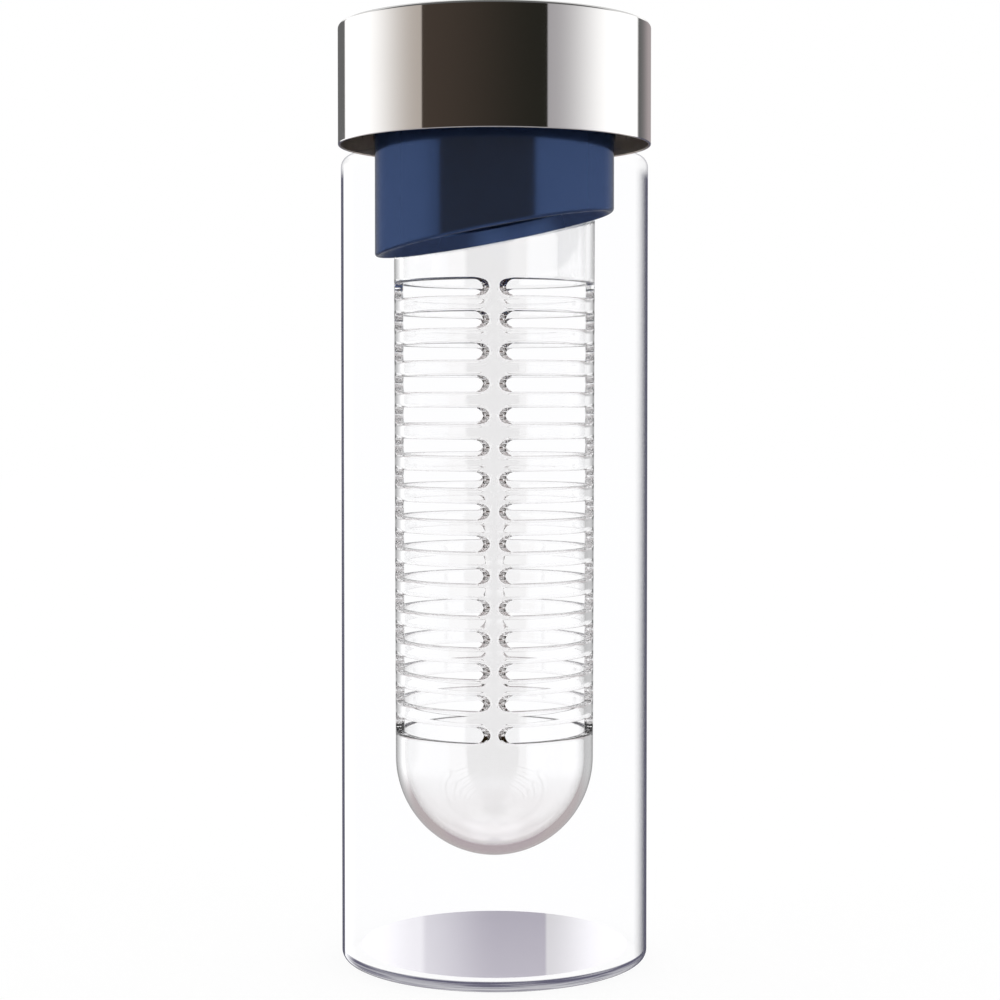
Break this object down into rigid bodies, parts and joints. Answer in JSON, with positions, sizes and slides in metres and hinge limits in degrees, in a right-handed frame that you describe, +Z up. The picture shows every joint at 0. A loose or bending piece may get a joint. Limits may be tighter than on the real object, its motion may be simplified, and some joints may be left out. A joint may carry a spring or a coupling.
{
  "type": "fruit infuser water bottle",
  "caption": "Clear glass water bottle with a polished steel screw cap and a slotted clear tube for fruit, hung in the neck from a blue plastic collar with a slanted lower edge.",
  "frame": {"origin": "middle of the flat base that the bottle stands on", "axes": "+Z up along the bottle's axis, -X towards the low side of the collar's slanted edge, -Y towards the picture's viewer"},
  "size_m": [0.0714, 0.0713, 0.2125],
  "materials": {
    "clear_glass": "clear, fire-polished",
    "silicone": "matt translucent white",
    "blue_plastic": "glossy navy blue",
    "clear_plastic": "clear, glossy",
    "liner_plastic": "satin dark grey",
    "polished_steel": "mirror polished stainless steel"
  },
  "bodies": {
    "bottle": {"glass_body": "clear_glass"},
    "infuser": {"infuser_collar": "blue_plastic", "rim_gasket": "silicone", "collar_o_ring": "silicone"},
    "tube": {"infuser_tube": "clear_plastic", "tube_grip_ring": "silicone"},
    "cap_seal": {"cap_gasket": "silicone"},
    "cap": {"cap_shell": "polished_steel", "cap_liner": "liner_plastic"}
  },
  "joints": [
    {"name": "infuser_lift", "type": "slide", "parent": "bottle", "child": "infuser", "axis": [0, 0, 1], "range_m": [0, 0.185]},
    {"name": "tube_pull", "type": "slide", "parent": "infuser", "child": "tube", "axis": [0, 0, -1], "range_m": [0, 0.0195]},
    {"name": "cap_lift", "type": "slide", "parent": "infuser", "child": "cap_seal", "axis": [0, 0, 1], "range_m": [0, 0.03]},
    {"name": "cap_turn", "type": "hinge", "parent": "cap_seal", "child": "cap", "pos_m": [0, 0, 0.2], "axis": [0, 0, 1], "range_deg": [0, 900]}
  ],
  "couplings": [
    {"joint": "cap_lift", "follows": "cap_turn", "m_per_rad": 0.0019098}
  ]
}
